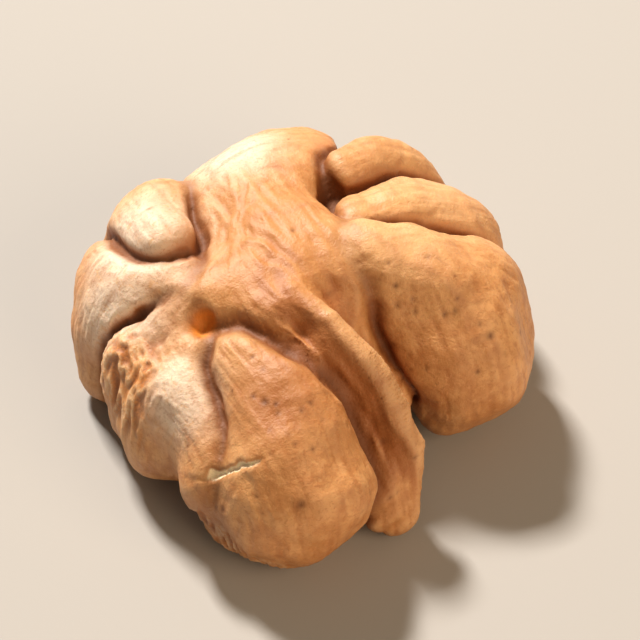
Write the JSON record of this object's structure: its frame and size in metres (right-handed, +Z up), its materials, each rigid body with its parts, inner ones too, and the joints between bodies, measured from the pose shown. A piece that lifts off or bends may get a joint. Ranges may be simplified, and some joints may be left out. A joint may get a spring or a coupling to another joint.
{
  "type": "shelled walnut kernel half",
  "caption": "Half of a shelled walnut kernel: plump, deeply creased lobes around a keeled groove, hollow underneath, lying on its hollow side.",
  "frame": {"origin": "centre of the footprint, on the surface the kernel rests on", "axes": "+Y along the groove between the two wings, from its open end to the stalk end; +X across the wings; +Z up through the plateau"},
  "size_m": [0.0314, 0.0318, 0.0157],
  "materials": {
    "kernel_skin": "thin papery golden-tan skin with a soft oily sheen"
  },
  "bodies": {
    "root": {"walnut_kernel": "kernel_skin"}
  },
  "joints": []
}
